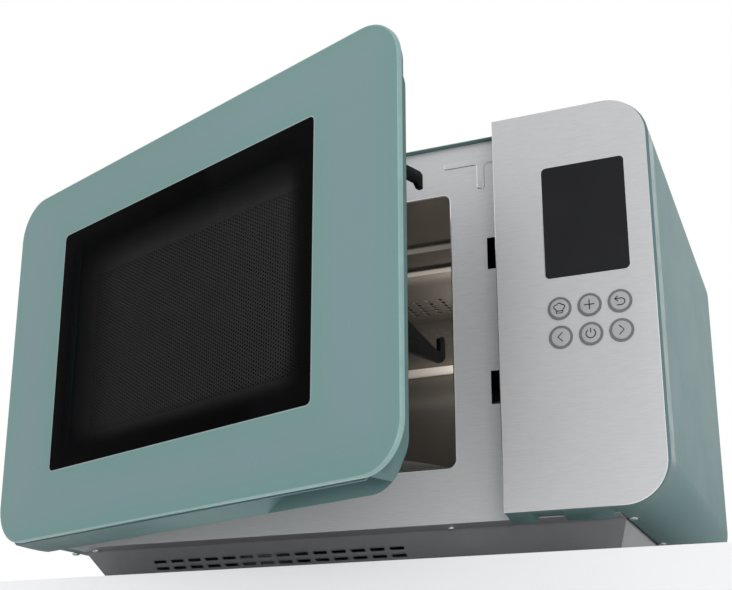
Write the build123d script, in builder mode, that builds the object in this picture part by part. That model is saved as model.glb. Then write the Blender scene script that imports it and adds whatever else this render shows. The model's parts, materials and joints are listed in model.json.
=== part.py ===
# Countertop microwave oven with a side-hung glass door, a side control panel
# and a turntable. Millimetres, +Z up, +X to the right seen from the front.
# Origin: under the feet, at the middle of the casing's width and depth.
# The door is designed closed and turned open by rest_open about its hinge.
import os

from build123d import *

os.makedirs("parts", exist_ok=True)

# ---- driving dimensions ----
width = 595.0
body_depth = 405.0
bottom = 32.0
top = 366.0
corner = 36.0
sheet = 1.0

front = -body_depth / 2
rear = front + body_depth
side = width / 2
casing_front = front + 25.0
frame_front = front + 30.0
frame_back = frame_front + sheet

cavity_left = -256.0
cavity_right = 126.0
cavity_floor_z = 74.0
cavity_top_z = 324.0
cavity_rear = front + 356.0
turn_x = (cavity_left + cavity_right) / 2
turn_y = front + 194.0

panel_left = 169.4
fascia_right = side - 2.0
display_x = 243.5
display_width = 67.0
display_top = top - 52.0
display_height = 96.5
button_columns = (220.2, 243.9, 267.5)
button_rows = (top - 174.4, top - 198.2)
ring_r = 9.45
button_r = 7.5
button_travel = 1.2

door_right = 195.0
door_body_right = 168.0
glass_front = front - 12.0
glass_back = front - 8.0
rim_back = front - 2.0
door_step = front + 22.5
door_back = front + 29.0
window_left = -side + 79.0
window_right = door_right - 84.0
window_top = top - 52.4
window_bottom = bottom + 58.4

hinge_x = -side + 11.5
hinge_y = front + 14.0
hinge_heights = (bottom + 32.0, top - 32.0)
hinge_plate = 2.5
pin_r = 3.0
bush_r = 5.0
pin_gap = 0.05
rest_open = 20.9

hook_x = 159.5
hook_width = 4.0
upper_hook_z = bottom + 231.0
lower_hook_z = bottom + 97.0
hook_pivot_y = front + 14.0

plate_r = 157.5
roller_r = 7.9
roller_z = cavity_floor_z + roller_r + 0.3
plate_bottom = roller_z + roller_r + 0.3
roller_track_r = 96.0
gland_x = 235.0
gland_z = 92.0
gland_r = 4.5
fan_x = 214.0
fan_y = 150.0
fan_z = 246.0

base_screw_spots = ((-225, 60), (225, 60), (-225, -50), (225, -50))
pan_screw_spots = ((-236.8, front + 50), (111, front + 50))
casing_screw_spots = ((-267, front + 60), (258.2, front + 57), (-258.2, 0), (258.2, 0),
                      (-258.2, 150), (258.2, 150))
rear_screw_spots = ((-270, 90), (-270, 300), (270, 90), (270, 300), (0, 345), (0, 60))

hinge_axis = Axis((hinge_x, hinge_y, 0), (0, 0, -1))


# ---- shared shapes ----
def slab(x0, x1, y0, y1, z0, z1, mode=Mode.ADD):
    # Box between two corners, added to the piece being built.
    with Locations(((x0 + x1) / 2, (y0 + y1) / 2, (z0 + z1) / 2)):
        Box(x1 - x0, y1 - y0, z1 - z0, mode=mode)


def upright(x0, x1, z0, z1, r, y):
    # Rounded rectangle standing in the plane at depth y.
    with BuildSketch(Plane.XZ.offset(-y)) as outline:
        with Locations(((x0 + x1) / 2, (z0 + z1) / 2)):
            RectangleRounded(x1 - x0, z1 - z0, r)
    return outline.sketch


def upright_plate(x0, x1, z0, z1, r, y0, y1, mode=Mode.ADD):
    # Rounded plate from depth y0 back to depth y1.
    extrude(upright(x0, x1, z0, z1, r, y1), amount=y1 - y0, mode=mode)


def rod(x, y, z, r, length, axis="z", mode=Mode.ADD):
    # Cylinder that starts at the point and runs along one axis.
    turn = {"x": (0, 90, 0), "y": (-90, 0, 0), "z": (0, 0, 0)}[axis]
    with Locations(Location((x, y, z), turn)):
        Cylinder(r, length, align=(Align.CENTER, Align.CENTER, Align.MIN), mode=mode)


def side_profile(points, x0, x1, mode=Mode.ADD):
    # Closed outline of (y, z) points, carried along X from x0 to x1.
    with BuildSketch(Plane.YZ.offset(x0)) as outline:
        with BuildLine():
            Polyline(*points, close=True)
        make_face()
    extrude(outline.sketch, amount=x1 - x0, mode=mode)


def save(piece, label, opened=False):
    # Labels a finished piece and writes it, turned with the door if it rides on it.
    shape = piece.part
    if opened:
        shape = shape.rotate(hinge_axis, rest_open)
    shape.label = label
    export_step(shape, f"parts/{label}.step")


# ---- casing, back and base ----
with BuildPart() as casing:
    upright_plate(-side, side, bottom, top, corner, casing_front, rear)
    upright_plate(
        -side + sheet, side - sheet, bottom + sheet, top - sheet, corner - sheet,
        casing_front - 1, rear + 1, mode=Mode.SUBTRACT,
    )
    slab(-254, 254, casing_front - 1, rear + 1, bottom - 1, bottom + 2, mode=Mode.SUBTRACT)
    # Air slots low on the left side, behind the hinge.
    for row in range(5):
        slab(-side - 1, -side + 2, 60, 150, 90 + 14 * row, 94 + 14 * row, mode=Mode.SUBTRACT)
    for x, y in casing_screw_spots:
        rod(x, y, bottom - 1, 1.8, 4, mode=Mode.SUBTRACT)
save(casing, "casing")

with BuildPart() as rear_panel:
    upright_plate(
        -side + 1.2, side - 1.2, bottom + 1.2, top - 1.2, corner - 1.2, rear - 3, rear - 2,
    )
    # Exhaust slots behind the fan and cooling slots behind the transformer.
    for column in range(3):
        for row in range(8):
            x = fan_x - 34 + 34 * column
            z = fan_z - 42 + 12 * row
            slab(x - 13, x + 13, rear - 4, rear, z - 2, z + 2, mode=Mode.SUBTRACT)
    for column in range(5):
        for row in range(4):
            x = -190 + 40 * column
            z = 282 + 12 * row
            slab(x - 15, x + 15, rear - 4, rear, z - 2, z + 2, mode=Mode.SUBTRACT)
    rod(gland_x, rear - 4, gland_z, 9.0, 4, "y", mode=Mode.SUBTRACT)
    for x, z in rear_screw_spots:
        rod(x, rear - 4, z, 1.8, 4, "y", mode=Mode.SUBTRACT)
save(rear_panel, "rear_panel")

pan_front = frame_back + 0.5
pan_shoulder = front + 56.0
pan_floor = 10.0
pan_back = rear - 4.0
with BuildPart() as base_pan:
    with BuildSketch(Plane.XY.offset(bottom)):
        with Locations((0, (pan_shoulder + pan_back) / 2)):
            Rectangle(506, pan_back - pan_shoulder)
    with BuildSketch(Plane.XY.offset(pan_floor)):
        with Locations((0, (pan_shoulder + 22 + pan_back - 8) / 2)):
            Rectangle(486, pan_back - 8 - pan_shoulder - 22)
    loft()
    with BuildSketch(Plane.XY.offset(bottom + 0.01)) as hollow_top:
        with Locations((0, (pan_shoulder + pan_back) / 2)):
            Rectangle(503.5, pan_back - pan_shoulder - 2.5)
    with BuildSketch(Plane.XY.offset(pan_floor + sheet)) as hollow_floor:
        with Locations((0, (pan_shoulder + 22 + pan_back - 8) / 2)):
            Rectangle(483.5, pan_back - 8 - pan_shoulder - 24.5)
    loft([hollow_top.sketch, hollow_floor.sketch], mode=Mode.SUBTRACT)
    # Flat lip behind the front frame.
    slab(-253, 253, pan_front, pan_shoulder + 1.2, bottom, bottom + sheet)
    # Intake slots through the front slope.
    for column in range(14):
        for z in (15.0, 20.5):
            x = -178 + 18 * column
            slab(x - 6.5, x + 6.5, pan_shoulder, pan_shoulder + 30, z - 1.1, z + 1.1,
                 mode=Mode.SUBTRACT)
    for x, y in pan_screw_spots:
        rod(x, y, bottom - 1, 1.8, 3, mode=Mode.SUBTRACT)
    for x, y in base_screw_spots:
        rod(x, y, pan_floor - 1, 1.8, 3, mode=Mode.SUBTRACT)
save(base_pan, "base_pan")

with BuildPart() as feet:
    for x in (-205, 205):
        for y in (-106, 165):
            with Locations((x, y, pan_floor / 2)):
                Cone(14, 16, pan_floor)
save(feet, "feet")

# ---- front frame and cavity ----
slot_left = 154.0
slot_right = 167.6
with BuildPart() as front_frame:
    upright_plate(
        -side + 1.2, side - 1.2, bottom + 1.2, top - 1.2, corner - 1.2,
        frame_front, frame_back,
    )
    slab(-253.6, 253.6, frame_front, frame_back, bottom, bottom + 4)
    upright_plate(
        -252, 122, bottom + 46, top - 46, 7, frame_front - 1, frame_back + 1,
        mode=Mode.SUBTRACT,
    )
    upright_plate(
        186, 284, bottom + 40, top - 40, 5, frame_front - 1, frame_back + 1,
        mode=Mode.SUBTRACT,
    )
    for low, high in ((bottom + 96, bottom + 124.5), (bottom + 214, bottom + 242.5)):
        slab(slot_left, slot_right, frame_front - 1, frame_back + 1, low, high,
             mode=Mode.SUBTRACT)
    # Slots for the hinge arms.
    for z in hinge_heights:
        slab(-side + 3, -side + 20, frame_front - 1, frame_back + 1, z - 1.5, z + 1.5,
             mode=Mode.SUBTRACT)
save(front_frame, "front_frame")

with BuildPart() as cavity_left_wall:
    slab(cavity_left - sheet, cavity_left, frame_back, cavity_rear,
         cavity_floor_z - sheet, cavity_top_z + sheet)
save(cavity_left_wall, "cavity_left_wall")

wave_y0 = -46.0
wave_y1 = 46.0
wave_z0 = 196.0
wave_z1 = 276.0
lamp_y = 100.0
lamp_z = 292.0
with BuildPart() as cavity_right_wall:
    slab(cavity_right, cavity_right + sheet, frame_back, cavity_rear,
         cavity_floor_z - sheet, cavity_top_z + sheet)
    slab(cavity_right - 1, cavity_right + 2, wave_y0 + 8, wave_y1 - 8,
         wave_z0 + 8, wave_z1 - 8, mode=Mode.SUBTRACT)
    # Light holes in front of the lamp.
    for row in range(5):
        for column in range(5):
            rod(cavity_right - 1, lamp_y - 14 + 7 * column, lamp_z - 14 + 7 * row,
                1.6, 3, "x", mode=Mode.SUBTRACT)
save(cavity_right_wall, "cavity_right_wall")

with BuildPart() as cavity_back_wall:
    slab(cavity_left, cavity_right, cavity_rear - sheet, cavity_rear,
         cavity_floor_z, cavity_top_z)
save(cavity_back_wall, "cavity_back_wall")

with BuildPart() as cavity_floor:
    slab(cavity_left, cavity_right, frame_back, cavity_rear,
         cavity_floor_z - sheet, cavity_floor_z)
    rod(turn_x, turn_y, cavity_floor_z - 2, 9, 4, mode=Mode.SUBTRACT)
save(cavity_floor, "cavity_floor")

patch_y0 = front + 279.0
patch_y1 = front + 330.0
with BuildPart() as cavity_ceiling:
    slab(cavity_left, cavity_right, frame_back, cavity_rear,
         cavity_top_z, cavity_top_z + sheet)
    # Perforated patch below the grill element.
    with Locations((turn_x, (patch_y0 + patch_y1) / 2, cavity_top_z + sheet / 2)):
        with GridLocations(14, 10, 14, 5):
            Cylinder(3, 4, mode=Mode.SUBTRACT)
save(cavity_ceiling, "cavity_ceiling")

with BuildPart() as grill_reflector:
    slab(turn_x - 110, turn_x + 110, patch_y0 - 6, patch_y1 + 6,
         cavity_top_z + sheet, cavity_top_z + 26)
    slab(turn_x - 109, turn_x + 109, patch_y0 - 5, patch_y1 + 5,
         cavity_top_z, cavity_top_z + 25, mode=Mode.SUBTRACT)
save(grill_reflector, "grill_reflector")

with BuildPart() as grill_tubes:
    for y in (patch_y0 + 14, patch_y1 - 14):
        rod(turn_x - 109, y, cavity_top_z + 13, 5, 218, "x")
save(grill_tubes, "grill_tubes")

with BuildPart() as waveguide_cover:
    slab(cavity_right - 0.6, cavity_right, wave_y0, wave_y1, wave_z0, wave_z1)
save(waveguide_cover, "waveguide_cover")

wave_x = cavity_right + sheet
with BuildPart() as waveguide:
    slab(wave_x, wave_x + 28, wave_y0, wave_y1, wave_z0, wave_z1)
    slab(wave_x - 1, wave_x + 26.5, wave_y0 + 1.5, wave_y1 - 1.5,
         wave_z0 + 1.5, wave_z1 - 1.5, mode=Mode.SUBTRACT)
    rod(wave_x + 20, 0, (wave_z0 + wave_z1) / 2, 10, 12, "x", mode=Mode.SUBTRACT)
save(waveguide, "waveguide")

# ---- microwave generator and power parts ----
mag_x = wave_x + 28
mag_z = (wave_z0 + wave_z1) / 2
with BuildPart() as magnetron_body:
    slab(mag_x, mag_x + 2, -44, 44, mag_z - 38, mag_z + 38)
    rod(mag_x - 20, 0, mag_z, 7, 22, "x")
    rod(mag_x + 2, 0, mag_z, 20, 60, "x")
    slab(mag_x + 60, mag_x + 62, -44, 44, mag_z - 38, mag_z + 38)
    for y0 in (-44, 42):
        slab(mag_x + 2, mag_x + 60, y0, y0 + 2, mag_z - 34, mag_z + 34)
    slab(mag_x + 62, mag_x + 84, -30, 30, mag_z - 22, mag_z + 22)
save(magnetron_body, "magnetron_body")

with BuildPart() as magnetron_fins:
    for index in range(7):
        x = mag_x + 9 + 7.4 * index
        slab(x, x + 0.8, -41, 41, mag_z - 30, mag_z + 30)
    rod(mag_x, 0, mag_z, 20, 64, "x", mode=Mode.SUBTRACT)
save(magnetron_fins, "magnetron_fins")

core_z = pan_floor + sheet
with BuildPart() as transformer_core:
    slab(142, 232, -40, 30, core_z, core_z + 75)
    for x0 in (157, 199):
        slab(x0, x0 + 18, -41, 31, core_z + 15, core_z + 60, mode=Mode.SUBTRACT)
save(transformer_core, "transformer_core")

with BuildPart() as transformer_coils:
    slab(157.3, 216.7, -56, 46, core_z + 15.3, core_z + 59.7)
    slab(175, 199, -40, 30, core_z + 15, core_z + 60, mode=Mode.SUBTRACT)
save(transformer_coils, "transformer_coils")

with BuildPart() as capacitor:
    with BuildSketch(Plane.XY.offset(core_z)):
        with Locations((178, 96)):
            SlotOverall(54, 34)
    extrude(amount=92)
    with Locations((166, 96, core_z + 97), (190, 96, core_z + 97)):
        Box(6.3, 0.8, 10)
    # High-voltage diode beside it.
    rod(212, 96, core_z, 4, 34)
    slab(209, 215, 92, 100, core_z + 34, core_z + 35)
save(capacitor, "capacitor")

with BuildPart() as mains_filter:
    slab(140, 190, 152, 190, core_z + 20, core_z + 21.6)
    for x in (144, 186):
        for y in (156, 186):
            rod(x, y, core_z, 3, 20)
    rod(155, 171, core_z + 21.6, 10, 18)
    slab(170, 184, 160, 182, core_z + 21.6, core_z + 36)
save(mains_filter, "mains_filter")

with BuildPart() as cable_gland:
    rod(gland_x, rear - 2, gland_z, 12, 7, "y")
    rod(gland_x, rear - 20, gland_z, 8.8, 18, "y")
    rod(gland_x, rear - 21, gland_z, gland_r, 27, "y", mode=Mode.SUBTRACT)
save(cable_gland, "cable_gland")

# ---- cooling fan ----
with BuildPart() as fan_shroud:
    slab(134, 292, fan_y, fan_y + 2, 156, 340)
    rod(fan_x, fan_y, fan_z, 56, 24, "y")
    rod(fan_x, fan_y - 1, fan_z, 54, 26, "y", mode=Mode.SUBTRACT)
    # Three arms that carry the motor.
    for angle in (90, 210, 330):
        with Locations(Location((fan_x, fan_y + 25.5, fan_z), (0, angle, 0))):
            with Locations((33, 0, 0)):
                Box(46, 3, 8)
save(fan_shroud, "fan_shroud")

with BuildPart() as fan_motor:
    slab(fan_x - 22, fan_x + 22, fan_y + 27, fan_y + 44, fan_z - 22, fan_z + 22)
    rod(fan_x, fan_y + 23.5, fan_z, 9, 3.5, "y")
    rod(fan_x, fan_y + 23, fan_z, 2.5 + pin_gap, 18, "y", mode=Mode.SUBTRACT)
save(fan_motor, "fan_motor")

with BuildPart() as fan_shaft:
    rod(fan_x, fan_y + 4, fan_z, 2.5, 36, "y")
save(fan_shaft, "fan_shaft")

with BuildPart() as fan_blade:
    rod(fan_x, fan_y + 4, fan_z, 13, 16, "y")
    for blade in range(7):
        with Locations(Location((fan_x, fan_y + 12, fan_z), (0, 360 / 7 * blade, 0))):
            with Locations(Location((30.5, 0, 0), (38, 0, 0))):
                Box(41, 1.6, 20)
    rod(fan_x, fan_y + 3, fan_z, 2.5, 18, "y", mode=Mode.SUBTRACT)
save(fan_blade, "fan_blade")

# ---- turntable drive ----
with BuildPart() as turntable_motor:
    rod(turn_x, turn_y, 52, 25, 18)
    for sign in (-1, 1):
        slab(turn_x + sign * 30 - 6, turn_x + sign * 30 + 6, turn_y - 5, turn_y + 5, 68.8, 70)
        slab(turn_x + sign * 33 - 2, turn_x + sign * 33 + 2, turn_y - 5, turn_y + 5, 70,
             cavity_floor_z - sheet)
    rod(turn_x, turn_y, 56, 3.5 + pin_gap, 16, mode=Mode.SUBTRACT)
save(turntable_motor, "turntable_motor")

with BuildPart() as drive_coupler:
    rod(turn_x, turn_y, 57, 3.5, 20)
    rod(turn_x, turn_y, cavity_floor_z + 2.5, 12, 4)
    # Three lobes that turn the plate.
    for lobe in range(3):
        with Locations(Location((turn_x, turn_y, cavity_floor_z + 9), (0, 0, 120 * lobe))):
            with Locations((10, 0, 0)):
                Box(20, 7, 13)
save(drive_coupler, "drive_coupler")

with BuildPart() as roller_ring:
    for radius in (78, 88):
        with Locations((turn_x, turn_y, roller_z)):
            Cylinder(radius, 5)
            Cylinder(radius - 3.5, 5, mode=Mode.SUBTRACT)
    for arm in range(3):
        with Locations(Location((turn_x, turn_y, roller_z), (0, 0, 120 * arm + 60))):
            with Locations((81, 0, 0)):
                Box(12, 6, 5)
            with Locations(Location((84, 0, 0), (0, 90, 0))):
                Cylinder(1.5, 19, align=(Align.CENTER, Align.CENTER, Align.MIN))
    with Locations((turn_x, turn_y, roller_z)):
        Cylinder(72, 5, mode=Mode.SUBTRACT)
save(roller_ring, "roller_ring")

for index in range(3):
    with BuildPart() as roller:
        with Locations(Location((turn_x, turn_y, roller_z), (0, 0, 120 * index + 60))):
            with Locations(Location((roller_track_r - 4, 0, 0), (0, 90, 0))):
                Cylinder(roller_r, 8, align=(Align.CENTER, Align.CENTER, Align.MIN))
                Cylinder(1.5 + pin_gap, 9, align=(Align.CENTER, Align.CENTER, Align.MIN),
                         mode=Mode.SUBTRACT)
    save(roller, f"roller_{index + 1}")

with BuildPart() as turntable_plate:
    with BuildSketch(Plane.XZ.offset(-turn_y)) as plate_profile:
        with BuildLine():
            Polyline(
                (turn_x, plate_bottom), (turn_x + 140, plate_bottom),
                (turn_x + plate_r, plate_bottom + 9), (turn_x + plate_r, plate_bottom + 11.5),
                (turn_x + 139, plate_bottom + 5), (turn_x, plate_bottom + 5), close=True,
            )
        make_face()
    revolve(plate_profile.sketch, axis=Axis((turn_x, turn_y, 0), (0, 0, 1)))
save(turntable_plate, "turntable_plate")

# ---- lamp ----
with BuildPart() as lamp_holder:
    slab(cavity_right + 40, cavity_right + 42, lamp_y - 16, lamp_y + 16, lamp_z - 16, lamp_z + 16)
    for y0 in (lamp_y - 18, lamp_y + 16):
        slab(wave_x, cavity_right + 42, y0, y0 + 2, lamp_z - 16, lamp_z + 16)
    rod(cavity_right + 28, lamp_y, lamp_z, 8, 12, "x")
save(lamp_holder, "lamp_holder")

with BuildPart() as cavity_lamp:
    rod(cavity_right + 7, lamp_y, lamp_z, 9, 21, "x")
    fillet(cavity_lamp.faces().sort_by(Axis.X)[0].edges(), 8.5)
save(cavity_lamp, "cavity_lamp")

# ---- control panel ----
with BuildPart() as panel_housing:
    upright_plate(60, side, bottom, top, corner, front + sheet, casing_front)
    slab(59, panel_left, front, casing_front + 1, bottom - 1, top + 1, mode=Mode.SUBTRACT)
    upright_plate(
        60, side - 2.5, bottom + 2.5, top - 2.5, corner - 2.5, front + 3.5, casing_front + 1,
        mode=Mode.SUBTRACT,
    )
    slab(panel_left, panel_left + 2.5, front + 3.5, casing_front, bottom, top)
    # Lower edge drops towards the back, with two gaps between its tabs.
    for x0, x1 in ((170, 190), (213.4, 250.6)):
        side_profile(
            ((front + 3, bottom + 1), (front + 3, bottom), (casing_front, bottom - 4.5),
             (casing_front, bottom + 1)),
            x0, x1,
        )
    slab(display_x - display_width / 2 + 3, display_x + display_width / 2 - 3,
         front, front + 4, display_top - display_height + 3, display_top - 3,
         mode=Mode.SUBTRACT)
    for x in button_columns:
        for z in button_rows:
            rod(x, front, z, ring_r, 4, "y", mode=Mode.SUBTRACT)
save(panel_housing, "panel_housing")

with BuildPart() as fascia:
    upright_plate(60, fascia_right, bottom + 0.3, top - 0.3, corner - 2, front, front + sheet)
    slab(59, panel_left, front - 1, front + 2, bottom - 1, top + 1, mode=Mode.SUBTRACT)
    upright_plate(
        display_x - display_width / 2, display_x + display_width / 2,
        display_top - display_height, display_top, 4, front - 1, front + 2,
        mode=Mode.SUBTRACT,
    )
    for x in button_columns:
        for z in button_rows:
            rod(x, front - 1, z, ring_r, 3, "y", mode=Mode.SUBTRACT)
save(fascia, "fascia")

with BuildPart() as display_glass:
    upright_plate(
        display_x - display_width / 2, display_x + display_width / 2,
        display_top - display_height, display_top, 4, front - 0.2, front + sheet,
    )
save(display_glass, "display_glass")

with BuildPart() as display_board:
    slab(display_x - 38, display_x + 38, front + 9, front + 10.6, button_rows[1] - 16, display_top + 4)
    slab(display_x - 30, display_x + 30, front + 4, front + 9,
         display_top - display_height + 4, display_top - 4)
save(display_board, "display_board")

with BuildPart() as button_collars:
    for x in button_columns:
        for z in button_rows:
            rod(x, front - 0.7, z, ring_r, 5.7, "y")
            rod(x, front - 1, z, button_r + pin_gap, 7, "y", mode=Mode.SUBTRACT)
save(button_collars, "button_collars")

button_names = (("button_menu", "button_plus", "button_back"),
                ("button_left", "button_power", "button_right"))
for row, z in enumerate(button_rows):
    for column, x in enumerate(button_columns):
        with BuildPart() as button:
            rod(x, front - 1.4, z, button_r, 7.9, "y")
            fillet(button.faces().sort_by(Axis.Y)[0].edges(), 0.4)
        save(button, button_names[row][column])

with BuildPart() as control_board:
    slab(176, 288, frame_back + 8, frame_back + 9.6, 70, 320)
    slab(190, 222, frame_back + 9.6, frame_back + 34, 80, 116)
    for z in (140, 164, 188):
        slab(240, 260, frame_back + 9.6, frame_back + 26, z, z + 16)
    for x in (180, 284):
        for z in (74, 316):
            rod(x, frame_back, z, 3, 8, "y")
save(control_board, "control_board")

# ---- latch ----
with BuildPart() as latch_board:
    slab(168.2, 172, frame_back, front + 110, bottom + 84, bottom + 262)
    for z0 in (bottom + 84, bottom + 166, bottom + 258.5):
        slab(148, 168.2, frame_back, front + 84, z0, z0 + 3.5)
save(latch_board, "latch_board")

with BuildPart() as interlock_switches:
    for y0, z0 in ((front + 78, bottom + 98), (front + 58, bottom + 222), (front + 78, bottom + 128)):
        slab(158, 168.2, y0, y0 + 20, z0, z0 + 27)
save(interlock_switches, "interlock_switches")

# ---- hinges: arm through the front frame, flange behind it, upright pin ----
with BuildPart() as hinges:
    for z, grow in zip(hinge_heights, (1, -1)):
        low = z - hinge_plate / 2
        slab(hinge_x - 8, hinge_x + 8, hinge_y, frame_back + 2, low, low + hinge_plate)
        rod(hinge_x, hinge_y, low, 8, hinge_plate)
        slab(hinge_x - 5, hinge_x + 24, frame_back, frame_back + 2, z - 9, z + 9)
        with Locations((hinge_x, hinge_y, z + grow * 9.5)):
            Cylinder(pin_r, 19)
save(hinges, "hinges")

# ---- screws ----
with BuildPart() as base_screws:
    for spots, seat in ((base_screw_spots, pan_floor), (pan_screw_spots, bottom),
                        (casing_screw_spots, bottom)):
        for x, y in spots:
            rod(x, y, seat - 1.8, 3.5, 1.8)
            rod(x, y, seat - 1.8, 1.8, 3.5)
save(base_screws, "base_screws")

with BuildPart() as rear_screws:
    for x, z in rear_screw_spots:
        rod(x, rear - 5, z, 1.8, 5, "y")
        rod(x, rear - 2, z, 3.6, 2, "y")
save(rear_screws, "rear_screws")

# ---- door, designed closed ----
with BuildPart() as door_glass:
    upright_plate(-side, door_right, bottom, top, corner, glass_front, glass_back)
    fillet(door_glass.faces().sort_by(Axis.Y)[0].edges(), 1.2)
save(door_glass, "door_glass", opened=True)

door_window = (window_left - 4, window_right + 4, window_bottom - 4, window_top + 4)
with BuildPart() as door_frame:
    upright_plate(-side + 4, door_right - 4, bottom + 4, top - 4, 32, glass_back, rim_back)
    with BuildSketch(Plane.XZ.offset(-door_step)) as body_outline:
        with Locations(((-side + 2.5 + door_body_right) / 2, (bottom - 4.5 + top - 0.8) / 2)):
            RectangleRounded(door_body_right + side - 2.5, top - 0.8 - bottom + 4.5, 31)
    extrude(body_outline.sketch, amount=door_step - rim_back)
    upright_plate(-side + 6, 166, bottom + 6, top - 6, 28, door_step, door_back)
    # Underside slopes down from the glass to the back edge.
    side_profile(
        ((rim_back - 0.01, bottom - 6), (rim_back - 0.01, bottom + 0.5), (door_step + 0.01, bottom - 4.5),
         (door_step + 0.01, bottom - 6)),
        -side - 1, door_body_right + 1, mode=Mode.SUBTRACT,
    )
    # Opening behind the window and the hollow for the choke.
    upright_plate(*door_window, 6, glass_back - 1, door_back + 1, mode=Mode.SUBTRACT)
    upright_plate(
        -248, 138, bottom + 36, top - 36, 8, front + 8, door_back + 1, mode=Mode.SUBTRACT,
    )
    # Pull scoop under the free end, with a long taper at its left.
    with BuildSketch(Plane.XZ.offset(-(front + 22))) as scoop:
        with BuildLine():
            Polyline((30, bottom - 6), (62, bottom + 13), (152, bottom + 13), (160, bottom - 6),
                     close=True)
        make_face()
    extrude(scoop.sketch, amount=22.5, mode=Mode.SUBTRACT)
    # Hinge side: back corner cut back, pockets for the arms, bores for the bushes.
    with BuildSketch(Plane.XY.offset(bottom - 10)) as back_corner:
        with BuildLine():
            Polyline(
                (-side - 1, hinge_y + 8), (hinge_x - 8.4, hinge_y + 8), (hinge_x - 2.4, hinge_y + 14.9),
                (hinge_x - 2.4, door_back + 1), (-side - 1, door_back + 1), close=True,
            )
        make_face()
    extrude(back_corner.sketch, amount=top - bottom + 20, mode=Mode.SUBTRACT)
    for z, grow in zip(hinge_heights, (1, -1)):
        slab(-side - 1, hinge_x + 17, front, door_back + 1, z - 2.25, z + 2.25, mode=Mode.SUBTRACT)
        with Locations((hinge_x, hinge_y, z + grow * 11)):
            Cylinder(bush_r, 22, mode=Mode.SUBTRACT)
    # Pockets that the hooks pivot in.
    for z in (upper_hook_z, lower_hook_z):
        slab(hook_x - 3.4, hook_x + 3.4, front + 2, door_back + 1, z - 6, z + 32, mode=Mode.SUBTRACT)
save(door_frame, "door_frame", opened=True)

with BuildPart() as hinge_bushes:
    for z, grow in zip(hinge_heights, (1, -1)):
        with Locations((hinge_x, hinge_y, z + grow * 12.4)):
            Cylinder(bush_r, 19)
            Cylinder(pin_r + pin_gap, 20, mode=Mode.SUBTRACT)
save(hinge_bushes, "hinge_bushes", opened=True)

choke_front = front + 8.0
choke_floor = choke_front + 1.0
with BuildPart() as door_choke:
    upright_plate(-247.5, 137.5, bottom + 36.5, top - 36.5, 7.5, choke_front, front + 26)
    upright_plate(-246.5, 136.5, bottom + 37.5, top - 37.5, 6.5, choke_floor, front + 27,
                  mode=Mode.SUBTRACT)
    # Second wall round the window forms the choke channel; the web is the screen.
    upright_plate(-226, 116, bottom + 54, top - 48, 6, choke_floor, front + 24)
    upright_plate(-225, 115, bottom + 55, top - 49, 5, choke_floor, front + 25,
                  mode=Mode.SUBTRACT)
save(door_choke, "door_choke", opened=True)

with BuildPart() as inner_window:
    upright_plate(-224, 114, bottom + 56, top - 50, 4, front + 11, front + 14)
save(inner_window, "inner_window", opened=True)

with BuildPart() as choke_cover:
    upright_plate(-247.5, 137.5, bottom + 36.5, top - 36.5, 7.5, front + 26, door_back)
    upright_plate(-224, 114, bottom + 56, top - 50, 4, front + 25, door_back + 1,
                  mode=Mode.SUBTRACT)
save(choke_cover, "choke_cover", opened=True)

hook_points = {
    "upper_hook": (
        (hook_pivot_y - 8, upper_hook_z - 3), (front + 30, upper_hook_z), (front + 46, upper_hook_z),
        (front + 49, upper_hook_z - 3.5), (front + 53, upper_hook_z - 3.5),
        (front + 53, upper_hook_z + 8), (front + 50, upper_hook_z + 10),
        (hook_pivot_y - 8, upper_hook_z + 10),
    ),
    "lower_hook": (
        (hook_pivot_y - 8, lower_hook_z), (front + 72, lower_hook_z), (front + 75.5, lower_hook_z + 3.5),
        (front + 75.5, lower_hook_z + 18), (front + 74, lower_hook_z + 19.5),
        (front + 71.5, lower_hook_z + 19.5), (front + 70, lower_hook_z + 18),
        (front + 70, lower_hook_z + 8), (front + 66, lower_hook_z + 8),
        (front + 30, lower_hook_z + 25), (hook_pivot_y - 8, lower_hook_z + 25),
    ),
}
pivot_heights = {"upper_hook": upper_hook_z + 4, "lower_hook": lower_hook_z + 12}
for name, points in hook_points.items():
    with BuildPart() as hook:
        side_profile(points, hook_x - hook_width / 2, hook_x + hook_width / 2)
        rod(hook_x - 5, hook_pivot_y, pivot_heights[name], 2.5 + pin_gap, 10, "x",
            mode=Mode.SUBTRACT)
    save(hook, name, opened=True)

with BuildPart() as hook_pins:
    for name in hook_points:
        rod(hook_x - 3.4, hook_pivot_y, pivot_heights[name], 2.5, 6.8, "x")
save(hook_pins, "hook_pins", opened=True)
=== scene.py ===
# Countertop microwave oven: looks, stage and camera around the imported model.
# Piece sizes are in millimetres beside their code and become metres when a piece is finished.
import json
import math

import bmesh
import bpy
from mathutils import Matrix, Vector


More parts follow.
